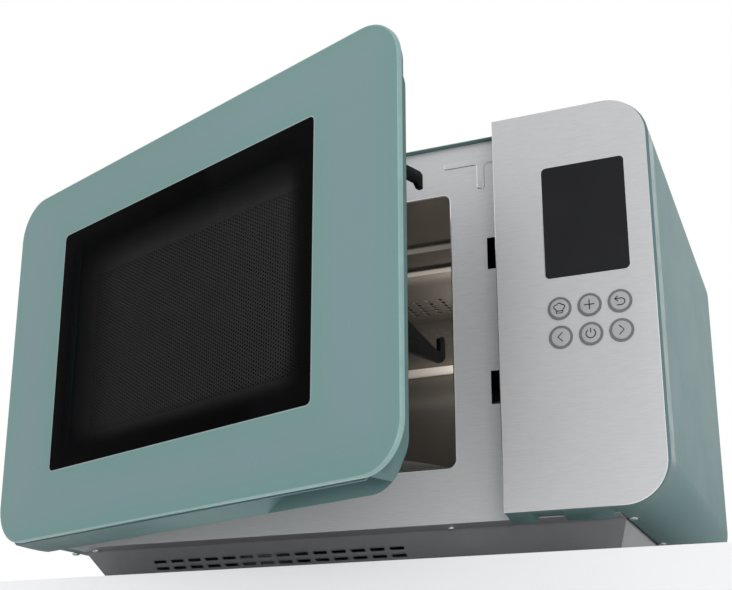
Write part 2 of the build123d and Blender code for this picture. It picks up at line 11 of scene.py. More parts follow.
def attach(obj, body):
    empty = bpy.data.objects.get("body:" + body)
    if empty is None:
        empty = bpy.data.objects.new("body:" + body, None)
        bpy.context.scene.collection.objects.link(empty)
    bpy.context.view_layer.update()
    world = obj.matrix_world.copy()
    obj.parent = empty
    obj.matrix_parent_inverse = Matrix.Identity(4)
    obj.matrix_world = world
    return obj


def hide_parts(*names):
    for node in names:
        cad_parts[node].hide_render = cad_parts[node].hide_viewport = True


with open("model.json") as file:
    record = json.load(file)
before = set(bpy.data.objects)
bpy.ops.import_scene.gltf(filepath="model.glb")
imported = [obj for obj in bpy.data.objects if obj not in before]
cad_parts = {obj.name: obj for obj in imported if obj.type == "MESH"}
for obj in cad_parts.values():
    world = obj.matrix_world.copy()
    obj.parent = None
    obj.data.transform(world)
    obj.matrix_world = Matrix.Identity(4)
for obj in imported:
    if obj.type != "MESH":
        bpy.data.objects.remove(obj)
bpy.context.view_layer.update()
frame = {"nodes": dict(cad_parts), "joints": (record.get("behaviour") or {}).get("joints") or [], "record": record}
nodes = frame["nodes"]
mm = 0.001
print("frame loaded:", len(nodes), "CAD nodes")

# The door is modelled closed, then turned to the resting gap about its hinge.
doorHinge = next(joint for joint in frame["joints"] if joint["name"] == "door_hinge")
hingePoint = Vector(doorHinge["pos_m"])
doorTurn = (Matrix.Translation(hingePoint)
            @ Matrix.Rotation(math.radians(-doorHinge["range_deg"][0]), 4, Vector(doorHinge["axis"]))
            @ Matrix.Translation(-hingePoint))
frontY = -202.5


# Material building.
class Nodes:
    # A short way to add shader nodes and wire them up.
    def __init__(self, name):
        self.material = bpy.data.materials.new(name)
        self.material.use_nodes = True
        self.tree = self.material.node_tree
        self.tree.nodes.clear()
        self.out = self.add("ShaderNodeOutputMaterial")

    def add(self, kind, settings=None, **inputs):
        node = self.tree.nodes.new(kind)
        for key, value in (settings or {}).items():
            setattr(node, key, value)
        for key, value in inputs.items():
            socket = node.inputs[key.replace("_", " ")]
            if isinstance(value, bpy.types.NodeSocket):
                self.tree.links.new(value, socket)
            else:
                socket.default_value = value
        return node

    def place(self, scale):
        coords = self.add("ShaderNodeTexCoord")
        mapping = self.add("ShaderNodeMapping", Vector=coords.outputs["Object"], Scale=scale)
        return mapping.outputs["Vector"]

    def grain(self, where, scale=1.0, detail=4.0, roughness=0.6):
        noise = self.add("ShaderNodeTexNoise", Vector=where, Scale=scale, Detail=detail,
                         Roughness=roughness)
        return noise.outputs["Fac"]

    def spread(self, value, low, high, fromLow=0.3, fromHigh=0.7):
        node = self.add("ShaderNodeMapRange", Value=value)
        for key, number in (("From Min", fromLow), ("From Max", fromHigh),
                            ("To Min", low), ("To Max", high)):
            node.inputs[key].default_value = number
        return node.outputs["Result"]

    def tint(self, value, dark, light):
        ramp = self.add("ShaderNodeValToRGB", Fac=value)
        ramp.color_ramp.elements[0].position = 0.3
        ramp.color_ramp.elements[0].color = (*dark, 1)
        ramp.color_ramp.elements[1].position = 0.7
        ramp.color_ramp.elements[1].color = (*light, 1)
        return ramp.outputs["Color"]

    def math(self, operation, first, second=0.0):
        node = self.add("ShaderNodeMath", {"operation": operation})
        for socket, value in zip(node.inputs, (first, second)):
            if isinstance(value, bpy.types.NodeSocket):
                self.tree.links.new(value, socket)
            else:
                socket.default_value = value
        return node.outputs[0]

    def shine(self, colour, roughness, height=None, bump=0.1, edge=0.0, **inputs):
        # Principled shader with an optional soft edge and surface relief.
        normal = None
        if edge:
            normal = self.add("ShaderNodeBevel", {"samples": 4}, Radius=edge * mm).outputs["Normal"]
        if height is not None:
            relief = self.add("ShaderNodeBump", Height=height, Strength=bump, Distance=0.0002)
            if normal is not None:
                self.tree.links.new(normal, relief.inputs["Normal"])
            normal = relief.outputs["Normal"]
        shader = self.add("ShaderNodeBsdfPrincipled", Base_Color=colour, Roughness=roughness, **inputs)
        if normal is not None:
            self.tree.links.new(normal, shader.inputs["Normal"])
        self.tree.links.new(shader.outputs["BSDF"], self.out.inputs["Surface"])
        return shader


def surface(name, dark, light, rough=(0.3, 0.4), scale=(40, 40, 40), detail=5.0,
            fine=900.0, bump=0.05, edge=0.4, **inputs):
    # General finish: two close colours, uneven gloss and fine relief.
    build = Nodes(name)
    where = build.place(scale)
    cloud = build.grain(where, 1.0, detail)
    relief = build.grain(where, fine / scale[0], 3.0)
    build.shine(build.tint(cloud, dark, light), build.spread(cloud, *rough), relief, bump, edge,
                **inputs)
    return build.material


def brushed(name, dark, light, rough, along, edge=0.3, streak=1.0, Metallic=1.0):
    # Brushed metal: long fine lines, shorter brighter streaks and broad unevenness.
    build = Nodes(name)
    lineScale = [3200.0, 3200.0, 3200.0]
    streakScale = [1500.0, 1500.0, 1500.0]
    lineScale[along] = 40.0
    streakScale[along] = 90.0
    lines = build.grain(build.place(lineScale), 1.0, 3.0)
    streaks = build.grain(build.place(streakScale), 1.0, 2.0)
    broad = build.grain(build.place((9, 9, 9)), 1.0, 2.0)
    mixed = build.math("ADD", build.math("MULTIPLY", lines, 0.5),
                       build.math("MULTIPLY", streaks, 0.5))
    gloss = build.math("ADD", build.math("MULTIPLY", mixed, 0.75),
                       build.math("MULTIPLY", broad, 0.25))
    build.shine(build.tint(mixed, dark, light), build.spread(gloss, *rough), mixed, 0.12 * streak,
                edge, Metallic=Metallic)
    return build.material


finishes = {
    "jade_steel": surface("jadeEnamel", (0.172, 0.270, 0.268), (0.180, 0.280, 0.278), (0.46, 0.54),
                          (22, 22, 22), fine=1500, bump=0.04, edge=0.6, Specular_IOR_Level=0.05),
    # Darker copy of the casing's jade for the moulded parts, standing in for shade on their sides and undersides:
    # painted shade.
    "jade_plastic": surface("jadePlasticShaded", (0.112, 0.196, 0.194), (0.124, 0.212, 0.210),
                            (0.32, 0.42), (60, 60, 60), fine=2200, bump=0.05, edge=0.9,
                            Specular_IOR_Level=0.18),
    "brushed_fascia": brushed("brushedFascia", (0.54, 0.54, 0.542), (0.64, 0.64, 0.64),
                              (0.36, 0.48), 0, Metallic=0.20),
    "frame_steel": brushed("brushedFrame", (0.60, 0.60, 0.602), (0.72, 0.72, 0.722),
                           (0.34, 0.46), 0, Metallic=0.22),
    "cavity_steel": brushed("cavitySteel", (0.40, 0.375, 0.345), (0.48, 0.452, 0.420),
                            (0.09, 0.16), 1, streak=0.15, Metallic=0.92),
    "zinc_steel": surface("zincSteel", (0.45, 0.46, 0.47), (0.51, 0.52, 0.53), (0.36, 0.48),
                          (110, 110, 110), detail=8, fine=500, bump=0.08, Metallic=0.8),
    "dark_steel": surface("basePaint", (0.33, 0.328, 0.334), (0.37, 0.368, 0.374), (0.30, 0.42),
                          (35, 35, 35), fine=1400, bump=0.08, edge=3.0, Metallic=0.3),
    "rubber": surface("footRubber", (0.018, 0.018, 0.018), (0.032, 0.032, 0.032), (0.65, 0.82),
                      (90, 90, 90), fine=2600, bump=0.18, edge=0.8),
    "black_plastic": surface("blackPlastic", (0.003, 0.003, 0.003), (0.006, 0.006, 0.006),
                             (0.20, 0.28), (80, 80, 80), fine=1600, bump=0.02, edge=0.5,
                             Specular_IOR_Level=0.05),
    "display_black": surface("displayGlass", (0.008, 0.008, 0.009), (0.012, 0.012, 0.013),
                             (0.05, 0.09), (12, 12, 12), fine=60, bump=0.01, edge=0.3,
                             Specular_IOR_Level=0.22),
    "board_green": surface("circuitBoard", (0.020, 0.110, 0.040), (0.035, 0.180, 0.065),
                           (0.35, 0.55), (260, 260, 260), detail=2, fine=2600, bump=0.25),
    "ring_grey": surface("buttonCollar", (0.175, 0.177, 0.180), (0.205, 0.207, 0.210),
                         (0.34, 0.44), (120, 120, 120), fine=3000, bump=0.04, edge=0.35,
                         Metallic=0.3),
    "button_grey": surface("buttonFace", (0.41, 0.412, 0.415), (0.45, 0.452, 0.455), (0.36, 0.46),
                           (150, 150, 150), fine=3200, bump=0.06, edge=0.3),
    "white_plastic": surface("whiteNylon", (0.58, 0.57, 0.54), (0.68, 0.67, 0.65), (0.38, 0.52),
                             (70, 70, 70), fine=1800, bump=0.06),
    "aluminium_fins": brushed("aluminium", (0.58, 0.59, 0.60), (0.74, 0.75, 0.76), (0.25, 0.38), 2),
    "core_iron": surface("laminatedCore", (0.10, 0.095, 0.09), (0.21, 0.20, 0.19), (0.42, 0.60),
                         (30, 900, 30), fine=900, bump=0.25, Metallic=0.8),
    "copper": surface("enamelledCopper", (0.42, 0.13, 0.05), (0.66, 0.26, 0.11), (0.24, 0.36),
                      (25, 25, 1100), fine=800, bump=0.40, Metallic=1.0),
    "choke_paint": surface("chokePaint", (0.040, 0.038, 0.043), (0.055, 0.052, 0.058),
                           (0.38, 0.50), (60, 60, 60), fine=1500, bump=0.06, Metallic=0.3),
    "mica": surface("micaSheet", (0.42, 0.36, 0.27), (0.58, 0.51, 0.40), (0.30, 0.50),
                    (140, 140, 140), detail=8, fine=1600, bump=0.20),
    "quartz": surface("quartzTube", (0.60, 0.60, 0.58), (0.78, 0.78, 0.76), (0.12, 0.22),
                      (60, 400, 400), fine=900, bump=0.08),
    "pin_steel": surface("screwSteel", (0.55, 0.55, 0.56), (0.72, 0.72, 0.73), (0.16, 0.28),
                         (300, 300, 300), fine=2600, bump=0.06, Metallic=0.9),
    "bush_plastic": surface("acetalBush", (0.055, 0.055, 0.060), (0.085, 0.085, 0.090),
                            (0.30, 0.40), (90, 90, 90), fine=1800, bump=0.05),
}


def clearGlass(name, tintDark, tintLight, alpha, rough=(0.03, 0.07)):
    # Thin clear glass: mostly see-through, with a smudged sheen.
    build = Nodes(name)
    smudge = build.grain(build.place((22, 22, 22)), 1.0, 6.0)
    build.shine(build.tint(smudge, tintDark, tintLight), build.spread(smudge, *rough),
                Alpha=build.spread(smudge, alpha - 0.03, alpha + 0.03), IOR=1.5,
                Specular_IOR_Level=0.3)
    return build.material


finishes["clear_glass"] = clearGlass("clearGlass", (0.55, 0.60, 0.58), (0.70, 0.74, 0.72), 0.22)
# A slight real tint on the inner window, darkened far past it so the cavity behind looks dim: painted shade.
tintAndShadeGlass = clearGlass("tintAndShadeGlass", (0.004, 0.004, 0.004), (0.007, 0.007, 0.007), 0.78)

# Outline of the pane and of its window in the closed door's plane: middle and half sizes.
paneShape = {"middle": (-51.25, 199.0), "half": (246.25, 167.0)}
windowShape = {"middle": (-53.75, 202.0), "half": (164.75, 111.6)}
windowPrint = {"solid": 4.0, "fade": 28.0, "clear": 0.38, "dense": 1.0}


def insetFrom(build, shape):
    # Distance inside an outline, soft at its corners, in metres.
    parts = build.add("ShaderNodeSeparateXYZ",
                      Vector=build.add("ShaderNodeTexCoord").outputs["UV"])
    insets = []
    for axis, middle, half in zip("XY", shape["middle"], shape["half"]):
        offset = build.math("ABSOLUTE", build.math("SUBTRACT", parts.outputs[axis], middle * mm))
        insets.append(build.math("SUBTRACT", half * mm, offset))
    inset = build.math("SMOOTH_MIN", insets[0], insets[1])
    inset.node.inputs[2].default_value = 0.03
    return inset


def windowGlass():
    # Black print that fades inwards from the window's edge to a dark see-through pane.
    build = Nodes("windowGlass")
    start = windowPrint["solid"] * mm
    fade = build.add("ShaderNodeMapRange", {"interpolation_type": "SMOOTHSTEP"},
                     Value=insetFrom(build, windowShape))
    for key, number in (("From Min", start), ("From Max", start + windowPrint["fade"] * mm),
                        ("To Min", windowPrint["dense"]), ("To Max", windowPrint["clear"])):
        fade.inputs[key].default_value = number
    smudge = build.grain(build.place((9, 9, 9)), 1.0, 3.0)
    build.shine(build.tint(smudge, (0.0008, 0.0008, 0.001), (0.0015, 0.0015, 0.002)),
                build.spread(smudge, 0.03, 0.06), Alpha=fade.outputs["Result"], IOR=1.5,
                Specular_IOR_Level=0.012)
    return build.material


def jadePrintWithSheen():
    # Back print seen through the glass, greener near its edges and greyer in between; that shift is painted
    # reflection on the glass, the noise is the print's own uneven tone.
    build = Nodes("jadeGlassWithSheen")
    outside = build.math("MULTIPLY", insetFrom(build, windowShape), -1.0)
    depth = build.math("SMOOTH_MIN", insetFrom(build, paneShape), outside)
    depth.node.inputs[2].default_value = 0.012
    cloud = build.grain(build.place((14, 14, 14)), 1.0, 5.0)
    sheenAndTone = build.math("ADD", build.spread(depth, 0.30, 0.66, 0.0, 0.026),
                       build.spread(cloud, -0.03, 0.03))
    build.shine(build.tint(sheenAndTone, (0.157, 0.285, 0.266), (0.184, 0.278, 0.288)),
                build.spread(cloud, 0.20, 0.28), Specular_IOR_Level=0.22)
    return build.material


jadeGlassWithSheen = jadePrintWithSheen()
# Lighter jade on the glass's rounded edge and sides: painted highlight.
glassEdgeHighlight = surface("glassEdgeHighlight", (0.235, 0.375, 0.360), (0.275, 0.425, 0.410), (0.10, 0.18),
                    (60, 60, 60), fine=600, bump=0.02, edge=0.0)
# Thin lighter ring round the window in place of the glint on its edge: painted highlight.
outlineHighlight = surface("outlineHighlight", (0.24, 0.31, 0.31), (0.30, 0.37, 0.37), (0.20, 0.28),
                       (60, 60, 60), bump=0.02, edge=0.0)
windowDark = windowGlass()
polishedEdge = surface("polishedEdge", (0.78, 0.78, 0.79), (0.88, 0.88, 0.89), (0.06, 0.12),
                       (200, 200, 200), fine=1800, bump=0.02, edge=0.0, Metallic=1.0)
glyphInk = surface("glyphInk", (0.006, 0.006, 0.006), (0.010, 0.010, 0.010), (0.5, 0.6),
                   (300, 300, 300), bump=0.05, edge=0.0, Specular_IOR_Level=0.1)
screenSteel = surface("screenSteel", (0.140, 0.135, 0.132), (0.168, 0.162, 0.158), (0.35, 0.50),
                      (45, 45, 45), fine=1200, bump=0.05, edge=0.0, Metallic=0.4)
print("materials ready")


# Mesh building.
broadFace = 1.6


def roundedFace(bm, box, radius, y, segments=10):
    # Upright rounded rectangle (left, right, low, high) at depth y.
    left, right, low, high = box
    made = bmesh.ops.create_grid(bm, x_segments=1, y_segments=1, size=0.5)["verts"]
    bmesh.ops.transform(bm, verts=made, matrix=(
        Matrix.Translation(((left + right) / 2, y, (low + high) / 2))
        @ Matrix.Rotation(math.pi / 2, 4, "X")
        @ Matrix.Diagonal((right - left, high - low, 1, 1))))
    if radius:
        made = bmesh.ops.bevel(bm, geom=made, offset=radius, offset_type="OFFSET",
                               segments=segments, profile=0.5, affect="VERTICES",
                               material=-1)["verts"]
    return made[0].link_faces[0]


def joinLoops(bm, outer, inner):
    # Turns two nested faces into the ring of faces between them.
    edges = list(outer.edges) + list(inner.edges)
    bmesh.ops.delete(bm, geom=[outer, inner], context="FACES_ONLY")
    return bmesh.ops.bridge_loops(bm, edges=edges)["faces"]


def thicken(bm, faces, depth):
    grown = bmesh.ops.extrude_face_region(bm, geom=list(faces))["geom"]
    moved = [item for item in grown if isinstance(item, bmesh.types.BMVert)]
    bmesh.ops.translate(bm, verts=moved, vec=(0, depth, 0))
    return moved


def soften(bm, width, segments=3, where=None, angle=35, material=-1):
    # Rounds the sharp edges, or only those whose middle passes the test.
    picked = []
    for edge in bm.edges:
        if len(edge.link_faces) != 2 or edge.calc_face_angle(0) < math.radians(angle):
            continue
        if where is None or where((edge.verts[0].co + edge.verts[1].co) / 2):
            picked.append(edge)
    made = bmesh.ops.bevel(bm, geom=picked, offset=width, offset_type="OFFSET", segments=segments,
                           profile=0.5, affect="EDGES", clamp_overlap=True, material=-1)
    if material >= 0:
        for face in made["faces"]:
            face.material_index = material


def finishPiece(bm, name, body, materials, replaced=(), opened=False, uv=False,
                inMetres=False, lay=None):
    # Metres, outward faces, the door's turn, then the object riding on its body.
    bmesh.ops.remove_doubles(bm, verts=bm.verts, dist=1e-7 if inMetres else 1e-4)
    bmesh.ops.recalc_face_normals(bm, faces=bm.faces)
    if lay is not None:
        bmesh.ops.transform(bm, verts=bm.verts, matrix=lay)
    if not inMetres:
        bmesh.ops.scale(bm, verts=bm.verts, vec=(mm, mm, mm))
    if uv:
        layer = bm.loops.layers.uv.new("closedDoor")
        for face in bm.faces:
            for loop in face.loops:
                loop[layer].uv = (loop.vert.co.x, loop.vert.co.z)
    if opened:
        bmesh.ops.transform(bm, verts=bm.verts, matrix=doorTurn)
    mesh = bpy.data.meshes.new(name)
    bm.to_mesh(mesh)
    bm.free()
    for polygon in mesh.polygons:
        # Broad flat faces keep their own normal beside rounded edges.
        around = sum((mesh.vertices[a].co - mesh.vertices[b].co).length
                     for a, b in polygon.edge_keys)
        polygon.use_smooth = polygon.area < broadFace * mm * around
    mesh.set_sharp_from_angle(angle=math.radians(32))
    piece = bpy.data.objects.new(name, mesh)
    bpy.context.scene.collection.objects.link(piece)
    for material in materials:
        mesh.materials.append(material)
    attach(piece, body)
    if replaced:
        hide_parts(*replaced)


def softCopy(node, width, segments, name, body, materials, where=None, edgeMaterial=-1):
    # A merged copy of a CAD node with its sharp edges rounded.
    bm = bmesh.new()
    bm.from_mesh(nodes[node].data)
    bmesh.ops.scale(bm, verts=bm.verts, vec=(1 / mm, 1 / mm, 1 / mm))
    bmesh.ops.remove_doubles(bm, verts=bm.verts, dist=0.002)
    bmesh.ops.dissolve_limit(bm, angle_limit=math.radians(0.5), verts=bm.verts, edges=bm.edges)
    for face in bm.faces:
        face.material_index = 0
    soften(bm, width, segments, where, material=edgeMaterial)
    finishPiece(bm, name, body, materials, replaced=(node,))


# Door glass.
glassSizes = {"outer": (-297.5, 195.0, 32.0, 366.0), "corner": 36.0, "front": frontY - 12,
              "back": frontY - 8, "window": (-218.5, 111.0, 90.4, 313.6), "windowCorner": 4.5,
              "outline": 0.9, "edge": 1.2}


def makeDoorGlass():
    sizes = glassSizes
    bm = bmesh.new()
    left, right, low, high = sizes["window"]
    grow = sizes["outline"]
    border = (left - grow, right + grow, low - grow, high + grow)
    outer = roundedFace(bm, sizes["outer"], sizes["corner"], sizes["front"], 12)
    rim = roundedFace(bm, border, sizes["windowCorner"] + grow, sizes["front"], 12)
    joinLoops(bm, outer, rim)
    borderEdges = [edge for edge in bm.edges if edge.is_boundary and all(
        left - 5 < v.co.x < right + 5 for v in edge.verts)]
    pane = roundedFace(bm, sizes["window"], sizes["windowCorner"], sizes["front"], 12)
    paneEdges = list(pane.edges)
    lineFaces = bmesh.ops.bridge_loops(bm, edges=borderEdges + paneEdges)["faces"]
    # The ring round the window takes the lighter outline colour: painted highlight.
    for face in lineFaces:
        face.material_index = 1
    pane.material_index = 2
    thicken(bm, bm.faces[:], sizes["back"] - sizes["front"])
    bmesh.ops.recalc_face_normals(bm, faces=bm.faces)
    outerEdge = [edge for edge in bm.edges if edge.calc_face_angle(0) > 1
                 and all(abs(v.co.y - sizes["front"]) < 0.01 for v in edge.verts)]
    rounded = bmesh.ops.bevel(bm, geom=outerEdge, offset=sizes["edge"], offset_type="OFFSET",
                              segments=5, profile=0.5, affect="EDGES", material=-1)["faces"]
    # The rounded front edge and the sides take the lighter edge colour: painted highlight.
    for face in rounded + [face for face in bm.faces if abs(face.normal.y) < 0.3]:
        face.material_index = 3
    finishPiece(bm, "doorGlass", "door",
                [jadeGlassWithSheen, outlineHighlight, windowDark, glassEdgeHighlight],
                replaced=("door_glass",), opened=True, uv=True)


makeDoorGlass()
print("door glass done")

# Perforated screen and choke.
screenSizes = {"field": (-192.0, 82.0, 122.0, 276.0), "y": frontY + 8.25, "pitchX": 2.75,
               "pitchZ": 3.175, "hole": 1.02, "thick": 0.5,
               "firstColumn": 0.67,  # middle of the first column, in steps
               # The choke's opening stays a little inside the field's ragged edge.
               "insetLeft": 0.5, "lastColumn": 1.2, "insetLow": 1.6}


def makeScreen():
    # One hexagonal cell with a six-sided hole, doubled until it fills the field.
    sizes = screenSizes
    left, right, low, high = sizes["field"]
    stepX, stepZ = sizes["pitchX"], sizes["pitchZ"]
    columns = int((right - left) / stepX)
    rows = int((high - low) / stepZ)
    bm = bmesh.new()
    # Corners of the cell point along X, so that neighbouring columns interlock.
    for acrossHalf, upHalf in ((stepX * 2 / 3, stepZ / math.sqrt(3)),
                               (sizes["hole"], sizes["hole"])):
        ring = bmesh.ops.create_circle(bm, cap_ends=False, segments=6, radius=1.0)["verts"]
        bmesh.ops.rotate(bm, verts=ring, matrix=Matrix.Rotation(math.pi / 2, 3, "Z"))
        bmesh.ops.scale(bm, verts=ring, vec=(acrossHalf, upHalf, 1))
    bmesh.ops.bridge_loops(bm, edges=bm.edges[:])
    bmesh.ops.transform(bm, verts=bm.verts, matrix=(
        Matrix.Translation((left + stepX * sizes["firstColumn"], sizes["y"], low + stepZ / 2))
        @ Matrix.Rotation(math.pi / 2, 4, "X")))
    count = 1
    while count < rows:
        more = min(count, rows - count)
        source = bm.faces[:] if more == count else [
            face for face in bm.faces if face.calc_center_median().z < low + stepZ * more]
        copies = bmesh.ops.duplicate(bm, geom=source)["geom"]
        verts = [item for item in copies if isinstance(item, bmesh.types.BMVert)]
        bmesh.ops.translate(bm, verts=verts, vec=(0, 0, stepZ * count))
        count += more
    column = bm.faces[:]
    for index in range(1, columns):
        copies = bmesh.ops.duplicate(bm, geom=column)["geom"]
        verts = [item for item in copies if isinstance(item, bmesh.types.BMVert)]
        bmesh.ops.translate(bm, verts=verts, vec=(stepX * index, 0, stepZ / 2 * (index % 2)))
    bmesh.ops.remove_doubles(bm, verts=bm.verts, dist=0.02)
    thicken(bm, bm.faces[:], sizes["thick"])
    finishPiece(bm, "doorScreen", "door", [screenSteel], opened=True)
    return (left + sizes["insetLeft"], left + stepX * (columns - 1 + sizes["lastColumn"]),
            low + sizes["insetLow"], low + stepZ * rows)


# The walls stand a hair off the web, so that merging doubles keeps the two apart.
chokeSizes = {"outer": (-247.5, 137.5, 68.5, 329.5), "corner": 7.5, "wall": 1.0,
              "front": frontY + 8, "back": frontY + 26, "standoff": 0.02,
              "channel": (-226.0, 116.0, 86.0, 318.0), "channelCorner": 6.0, "channelBack": frontY + 24}


def makeChoke(opening):
    sizes = chokeSizes
    wall = sizes["wall"]
    start = sizes["front"] + wall + sizes["standoff"]
    bm = bmesh.new()
    # Web with the field's opening.
    thicken(bm, joinLoops(bm, roundedFace(bm, sizes["outer"], sizes["corner"], sizes["front"]),
                          roundedFace(bm, opening, 0.5, sizes["front"])), wall)
    for box, corner, back in ((sizes["outer"], sizes["corner"], sizes["back"]),
                              (sizes["channel"], sizes["channelCorner"], sizes["channelBack"])):
        inside = (box[0] + wall, box[1] - wall, box[2] + wall, box[3] - wall)
        ring = joinLoops(bm, roundedFace(bm, box, corner, start),
                         roundedFace(bm, inside, corner - wall, start))
        thicken(bm, ring, back - start)
    finishPiece(bm, "doorChoke", "door", [screenSteel],
                replaced=("door_choke",), opened=True)


makeChoke(makeScreen())
print("screen and choke done")

# Panel.
softEdges = {"panelFascia": 0.55, "rubberFeet": 1.4, "panelBezel": 1.3, "doorMoulding": 0.9,
             "hooks": 0.5}  # how far the edges of each copied part are rounded
softCopy("fascia", softEdges["panelFascia"], 3, "panelFascia", "root",
         [finishes["brushed_fascia"], polishedEdge], edgeMaterial=1,
         where=lambda p: p.y < frontY + 0.1 and (
             p.x < 175 or p.x > 284 or p.z > 320 or p.z < 150))


def ringPiece(name, body, material, box, corner, wide, y0, y1, edge=0.0, lay=None,
              segments=10):
    # Flat or raised ring that follows a rounded outline.
    left, right, low, high = box
    inside = (left + wide, right - wide, low + wide, high - wide)
    bm = bmesh.new()
    ring = joinLoops(bm, roundedFace(bm, box, corner, y0, segments),
                     roundedFace(bm, inside, max(corner - wide, 0.2), y0, segments))
    thicken(bm, ring, y1 - y0)
    if edge:
        soften(bm, edge, 3, where=lambda p: p.y < min(y0, y1) + 0.01)
    finishPiece(bm, name, body, [material], lay=lay)


rimSizes = {"outline": (209.6, 277.4, 217.1, 314.4), "corner": 4.4, "wide": 0.45,
            "front": frontY - 0.35, "back": frontY - 0.05, "edge": 0.12}
ringPiece("displayRim", "root", polishedEdge, rimSizes["outline"],
          rimSizes["corner"], rimSizes["wide"], rimSizes["front"], rimSizes["back"],
          rimSizes["edge"])

# Glyphs on the six buttons, as round strokes in millimetres about each button's middle.
glyphs = {
    "menu": [[(-1.8, -1.6), (1.8, -1.6)]],
    "plus": [[(-2.8, 0), (2.8, 0)], [(0, -2.8), (0, 2.8)]],
    "back": [[(-1.0, 2.7), (-2.7, 1.2), (-1.0, -0.3)],
             [(-2.6, 1.2), (1.4, 1.2), (2.5, 0.5), (2.8, -0.7), (2.3, -1.9), (1.2, -2.5),
              (-1.6, -2.5)]],
    "left": [[(1.1, 2.6), (-1.5, 0), (1.1, -2.6)]],
    "power": [[(0, 3.0), (0, 0.4)]],
    "right": [[(-1.1, 2.6), (1.5, 0), (-1.1, -2.6)]],
}


def arc(across, up, radius, start, stop, step):
    return [(across + radius * math.cos(math.radians(a)), up + radius * math.sin(math.radians(a)))
            for a in range(start, stop, step)]


glyphs["power"].append(arc(0, 0, 2.6, 125, 416, 15))
# Chef's hat: straight band below, three lobes above.
glyphs["menu"].append([(-1.8, -2.8)] + arc(-1.85, 0.75, 1.25, 270, 74, -20)
                      + arc(0, 1.65, 1.35, 160, 19, -20) + arc(1.85, 0.75, 1.25, 106, -91, -20)
                      + [(1.8, -2.8), (-1.8, -2.8)])
buttonSizes = {"radius": 7.5, "front": frontY - 1.4, "back": frontY + 6.5, "edge": 0.7,
               "stroke": 0.40, "glyph": 1.42, "columns": (220.2, 243.9, 267.5), "rows": (191.6, 167.8)}
buttonGrid = (("menu", "plus", "back"), ("left", "power", "right"))


def makeButton(name, x, z):
    sizes = buttonSizes
    bm = bmesh.new()
    bmesh.ops.create_cone(bm, cap_ends=True, segments=40, radius1=sizes["radius"],
                          radius2=sizes["radius"], depth=sizes["back"] - sizes["front"])
    bmesh.ops.transform(bm, verts=bm.verts, matrix=(
        Matrix.Translation((x, (sizes["front"] + sizes["back"]) / 2, z))
        @ Matrix.Rotation(math.pi / 2, 4, "X")))
    soften(bm, sizes["edge"], 4, where=lambda p: p.y < sizes["front"] + 0.1)
    finishPiece(bm, "button." + name, f"button_{name}_body",
                [finishes["button_grey"]], replaced=("button_" + name,))
    for index, stroke in enumerate(glyphs[name]):
        curve = bpy.data.curves.new("stroke", "CURVE")
        curve.dimensions = "3D"
        curve.bevel_depth = sizes["stroke"] * mm
        curve.bevel_resolution = 2
        curve.use_fill_caps = True
        spline = curve.splines.new("POLY")
        if stroke[0] == stroke[-1]:
            spline.use_cyclic_u = True
            stroke = stroke[:-1]
        spline.points.add(len(stroke) - 1)
        for point, (across, up) in zip(spline.points, stroke):
            point.co = ((x + across * sizes["glyph"]) * mm, (sizes["front"] + 0.05) * mm,
                        (z + up * sizes["glyph"]) * mm, 1)
        holder = bpy.data.objects.new("stroke", curve)
        mesh = bpy.data.meshes.new_from_object(holder)
        bpy.data.objects.remove(holder)
        bm = bmesh.new()
        bm.from_mesh(mesh)
        finishPiece(bm, f"glyph.{name}.{index + 1}", f"button_{name}_body",
                    [glyphInk], inMetres=True)


for row, z in enumerate(buttonSizes["rows"]):
    for column, x in enumerate(buttonSizes["columns"]):
        makeButton(buttonGrid[row][column], x, z)
print("buttons done")

# Front frame trim.
lipSizes = {"outline": (-253.0, 123.0, 77.0, 321.0), "corner": 7.6, "wide": 1.2,
            "front": frontY + 29.5, "back": frontY + 30.2, "edge": 0.3}
ringPiece("mouthLip", "root", polishedEdge, lipSizes["outline"],
          lipSizes["corner"], lipSizes["wide"], lipSizes["front"], lipSizes["back"],
          lipSizes["edge"])


# The closed door leaves 1 mm in front of the frame, so the T stays lower than that.
embossSizes = {"left": 117.0, "right": 183.0, "top": 351.0, "bar": 344.0, "stem": 146.5,
               "stemRight": 153.5, "foot": 321.0, "corner": 2.6, "base": frontY + 30.1,
               "rise": 0.8, "edge": 0.6}


def makeFrameEmboss():
    # Raised T above the latch side of the mouth.
    sizes = embossSizes
    left, right, top, bar = (sizes[key] for key in ("left", "right", "top", "bar"))
    stem, stemRight, foot = (sizes[key] for key in ("stem", "stemRight", "foot"))
    corners = ((left, top), (right, top), (right, bar), (stemRight, bar), (stemRight, foot),
               (stem, foot), (stem, bar), (left, bar))
    bm = bmesh.new()
    face = bm.faces.new([bm.verts.new((x, sizes["base"], z)) for x, z in corners])
    bmesh.ops.bevel(bm, geom=list(face.verts), offset=sizes["corner"], offset_type="OFFSET",
                    segments=5, profile=0.5, affect="VERTICES", material=-1)
    thicken(bm, bm.faces[:], -sizes["rise"])
    soften(bm, sizes["edge"], 4, where=lambda p: p.y < sizes["base"] - 0.1, material=1)
    finishPiece(bm, "frameEmboss", "root", [finishes["frame_steel"], polishedEdge])


makeFrameEmboss()

# Cavity embossing.
# The ridges take a lighter, less metallic copy of the cavity steel: painted highlight.
ridgeHighlightSteel = brushed("ridgeHighlightSteel", (0.52, 0.50, 0.475), (0.62, 0.60, 0.575), (0.18, 0.26), 1,
                     streak=0.15, Metallic=0.45)
cavitySizes = {"left": -256.0, "top": 324.0, "back": frontY + 355, "wide": 11.0, "rise": 2.6,
               "edge": 2.4, "ceiling": (-250.0, 120.0, frontY + 135, frontY + 203),
               "ceilingCorner": 33.9, "rear": (-242.0, 112.0, 102.0, 270.0),
               "side": (frontY + 76, frontY + 304, 102.0, 262.0), "corner": 30.0}


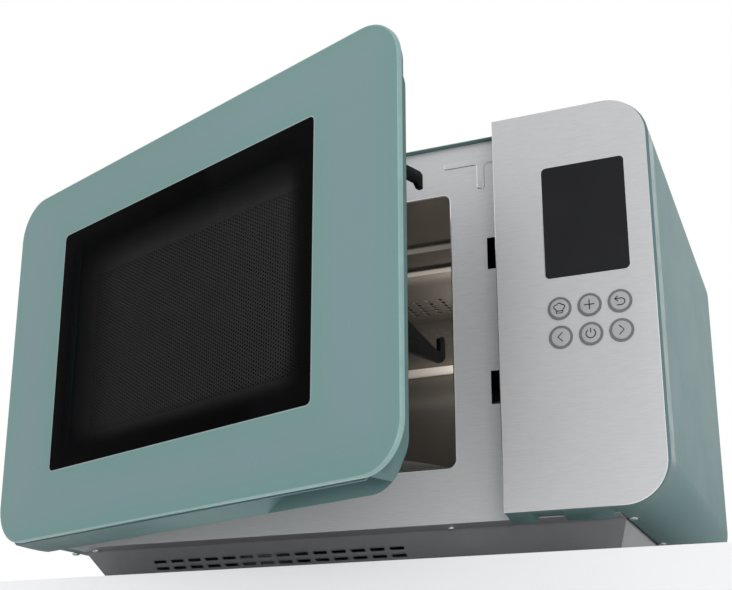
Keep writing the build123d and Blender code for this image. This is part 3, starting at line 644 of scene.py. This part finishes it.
def makeRidges():
    # Each ridge is a rounded ring, laid on the ceiling, the back wall and the left wall.
    sizes = cavitySizes
    wide, rise, edge = sizes["wide"], sizes["rise"], sizes["edge"]
    ceiling = Matrix(((1, 0, 0, 0), (0, 0, 1, 0), (0, -1, 0, sizes["top"]), (0, 0, 0, 1)))
    leftWall = Matrix(((0, -1, 0, sizes["left"]), (1, 0, 0, 0), (0, 0, 1, 0), (0, 0, 0, 1)))
    ringPiece("ceilingRidge", "root", ridgeHighlightSteel, sizes["ceiling"],
              sizes["ceilingCorner"], wide, rise, 0.0, edge, ceiling, 16)
    ringPiece("backRidge", "root", ridgeHighlightSteel, sizes["rear"], sizes["corner"],
              wide, sizes["back"] - rise, sizes["back"], edge, segments=12)
    ringPiece("leftRidge", "root", ridgeHighlightSteel, sizes["side"], sizes["corner"],
              wide, -rise, 0.0, edge, leftWall, 12)


makeRidges()
print("cavity done")

# Screws.
screwSizes = {
    "radius": 3.5, "segments": 24,
    "dome": ((3.5, 0.9), (3.25, 1.35), (2.6, 1.68)),  # radius and height of each step
    "recessRadius": 1.4, "top": 1.8, "recessFloor": 0.9, "cross": 0.42,
    "shank": 1.8, "shankSegments": 12, "reach": 2.6,
    "base": ((-225, 60, 10), (225, 60, 10), (-225, -50, 10), (225, -50, 10),
             (-236.8, frontY + 50, 32), (111, frontY + 50, 32), (-267, frontY + 60, 32),
             (258.2, frontY + 57, 32), (-258.2, 0, 32), (258.2, 0, 32), (-258.2, 150, 32),
             (258.2, 150, 32)),
    "rear": ((-270, 90), (-270, 300), (270, 90), (270, 300), (0, 345), (0, 60)),
    "rearSeat": 200.5}


def raiseCap(bm, cap, ratio, rise, keepBelow=False):
    # Extrudes a lone cap by the rise, resizes it, and returns the new cap.
    grown = bmesh.ops.extrude_face_region(bm, geom=[cap])["geom"]
    newCap = next(item for item in grown if isinstance(item, bmesh.types.BMFace))
    if not keepBelow:
        bmesh.ops.delete(bm, geom=[cap], context="FACES_ONLY")
    bmesh.ops.scale(bm, verts=newCap.verts, vec=(ratio, ratio, 1))
    bmesh.ops.translate(bm, verts=newCap.verts, vec=(0, 0, rise))
    return newCap


def addScrew(bm, lay):
    # Domed head with a cross recess, built along +Z from its seat and then laid in place.
    sizes = screwSizes
    every = list(bmesh.ops.create_circle(bm, cap_ends=True, segments=sizes["segments"],
                                         radius=sizes["radius"])["verts"])
    cap = every[0].link_faces[0]
    radius, height = sizes["radius"], 0.0
    for nextRadius, nextHeight in sizes["dome"]:
        cap = raiseCap(bm, cap, nextRadius / radius, nextHeight - height, keepBelow=height == 0)
        every += list(cap.verts)
        radius, height = nextRadius, nextHeight
    cap = raiseCap(bm, cap, sizes["recessRadius"] / radius, sizes["top"] - height)
    every += list(cap.verts)
    armStep = sizes["segments"] // 4
    for index, vert in enumerate(cap.verts):
        # Three of each quarter's six points are drawn in, which leaves four arms.
        if index % armStep in (2, 3, 4):
            vert.co.xy *= sizes["cross"]
    cap = raiseCap(bm, cap, 1, sizes["recessFloor"] - sizes["top"])
    every += list(cap.verts)
    shank = bmesh.ops.create_cone(bm, cap_ends=True, segments=sizes["shankSegments"],
                                  radius1=sizes["shank"], radius2=sizes["shank"],
                                  depth=sizes["reach"])["verts"]
    bmesh.ops.translate(bm, verts=shank, vec=(0, 0, -sizes["reach"] / 2))
    bmesh.ops.transform(bm, verts=every + shank, matrix=lay)


def makeScrews():
    sizes = screwSizes
    below = bmesh.new()
    for spot in sizes["base"]:
        addScrew(below, Matrix.Translation(spot) @ Matrix.Rotation(math.pi, 4, "X"))
    finishPiece(below, "baseScrews", "root", [finishes["pin_steel"]],
                replaced=("base_screws",))
    behind = bmesh.new()
    for x, z in sizes["rear"]:
        addScrew(behind, Matrix.Translation((x, sizes["rearSeat"], z))
                 @ Matrix.Rotation(-math.pi / 2, 4, "X"))
    finishPiece(behind, "rearScrews", "root", [finishes["pin_steel"]],
                replaced=("rear_screws",))


makeScrews()
print("screws done")

# Soft edged copies of moulded and pressed parts.
softCopy("feet", softEdges["rubberFeet"], 3, "rubberFeet", "root",
         [finishes["rubber"]])
softCopy("panel_housing", softEdges["panelBezel"], 4, "panelBezel", "root",
         [finishes["jade_plastic"]],
         where=lambda p: p.y < frontY + 1.1 and (p.x > 294 or p.z > 340 or p.z < 60))
softCopy("door_frame", softEdges["doorMoulding"], 3, "doorMoulding", "door",
         [finishes["jade_plastic"]])
for hook in ("upper_hook", "lower_hook"):
    softCopy(hook, softEdges["hooks"], 3, hook.replace("_hook", "Hook"), hook + "_body",
             [finishes["black_plastic"]])

# CAD nodes that stay: their slot's finish.
for part in frame["record"]["subparts"]:
    finish = finishes.get(part["material_slot"])
    # The inner window takes the dark pane: slight tint plus painted shade.
    if part["node"] == "inner_window":
        finish = tintAndShadeGlass
    if finish is None:
        continue
    mesh = nodes[part["node"]].data
    mesh.materials.clear()
    mesh.materials.append(finish)

# Stage, lights and camera.
stageSizes = {"half": 1.6, "front": (frontY - 6) * mm, "back": 1.8, "thick": 0.5}


def makeStage():
    sizes = stageSizes
    front, back, thick = sizes["front"], sizes["back"], sizes["thick"]
    bm = bmesh.new()
    bmesh.ops.create_cube(bm, size=1)
    bmesh.ops.transform(bm, verts=bm.verts, matrix=(
        Matrix.Translation((0, (front + back) / 2, -thick / 2))
        @ Matrix.Diagonal((2 * sizes["half"], back - front, thick, 1))))
    mesh = bpy.data.meshes.new("shelf")
    bm.to_mesh(mesh)
    bm.free()
    shelf = bpy.data.objects.new("shelf", mesh)
    bpy.context.scene.collection.objects.link(shelf)
    mesh.materials.append(surface("paleShelf", (0.90, 0.90, 0.905), (0.93, 0.93, 0.935),
                                  (0.5, 0.6), (4, 4, 4), fine=200, bump=0.01, edge=0.0))


makeStage()


def addLight(name, spot, aim, power, size, colour=(1, 1, 1), glossy=True):
    light = bpy.data.lights.new(name, "AREA")
    light.energy = power
    light.shape = "RECTANGLE"
    light.size, light.size_y = size
    light.color = colour
    holder = bpy.data.objects.new(name, light)
    bpy.context.scene.collection.objects.link(holder)
    holder.location = spot
    holder.rotation_euler = (Vector(aim) - Vector(spot)).to_track_quat("-Z", "Y").to_euler()
    holder.visible_camera = False
    holder.visible_glossy = glossy


addLight("keyLight", (-2.6, -2.6, 2.2), (0, 0, 0.2), 14.5, (3.2, 2.4))
addLight("rightFill", (3.0, -2.6, 0.6), (0.1, -0.15, 0.2), 8, (2.4, 2.0))
addLight("frontFill", (1.2, -3.2, 0.4), (0.2, -0.2, 0.2), 18, (2.0, 1.2), glossy=False)
addLight("lowFill", (0.9, -2.2, -0.8), (0, -0.1, 0.1), 7, (2.6, 1.2))
addLight("backFill", (0.6, 3.0, 1.6), (0, 0, 0.2), 16, (3.0, 2.0))
addLight("ovenLamp", (0.10, 0.09, 0.285), (-0.2, -0.05, 0.12), 0.75, (0.03, 0.03),
         (1.0, 0.94, 0.86), glossy=False)

world = bpy.data.worlds.new("studio")
bpy.context.scene.world = world
world.use_nodes = True
worldNodes = world.node_tree.nodes
worldNodes.clear()
seen = worldNodes.new("ShaderNodeBackground")
seen.inputs["Color"].default_value = (1, 1, 1, 1)
seen.inputs["Strength"].default_value = 1.0
glow = worldNodes.new("ShaderNodeBackground")
glow.inputs["Color"].default_value = (0.97, 0.98, 1, 1)
glow.inputs["Strength"].default_value = 0.72
rays = worldNodes.new("ShaderNodeLightPath")
choose = worldNodes.new("ShaderNodeMixShader")
worldOut = worldNodes.new("ShaderNodeOutputWorld")
wire = world.node_tree.links.new
wire(rays.outputs["Is Camera Ray"], choose.inputs[0])
wire(glow.outputs[0], choose.inputs[1])
wire(seen.outputs[0], choose.inputs[2])
wire(choose.outputs[0], worldOut.inputs["Surface"])

cameraSizes = {"spot": (0.4077, -1.0618, -0.1219), "left": 22.3, "up": 15.58, "lens": 57.34,
               "shift": 0.139}
camera = bpy.data.objects.new("camera", bpy.data.cameras.new("camera"))
bpy.context.scene.collection.objects.link(camera)
camera.location = cameraSizes["spot"]
camera.rotation_euler = (math.radians(90 + cameraSizes["up"]), 0, math.radians(cameraSizes["left"]))
camera.data.lens = cameraSizes["lens"]
camera.data.shift_y = cameraSizes["shift"]
camera.data.clip_start = 0.02
bpy.context.scene.camera = camera
bpy.context.scene.view_settings.view_transform = "Standard"
print("stage, lights and camera ready")
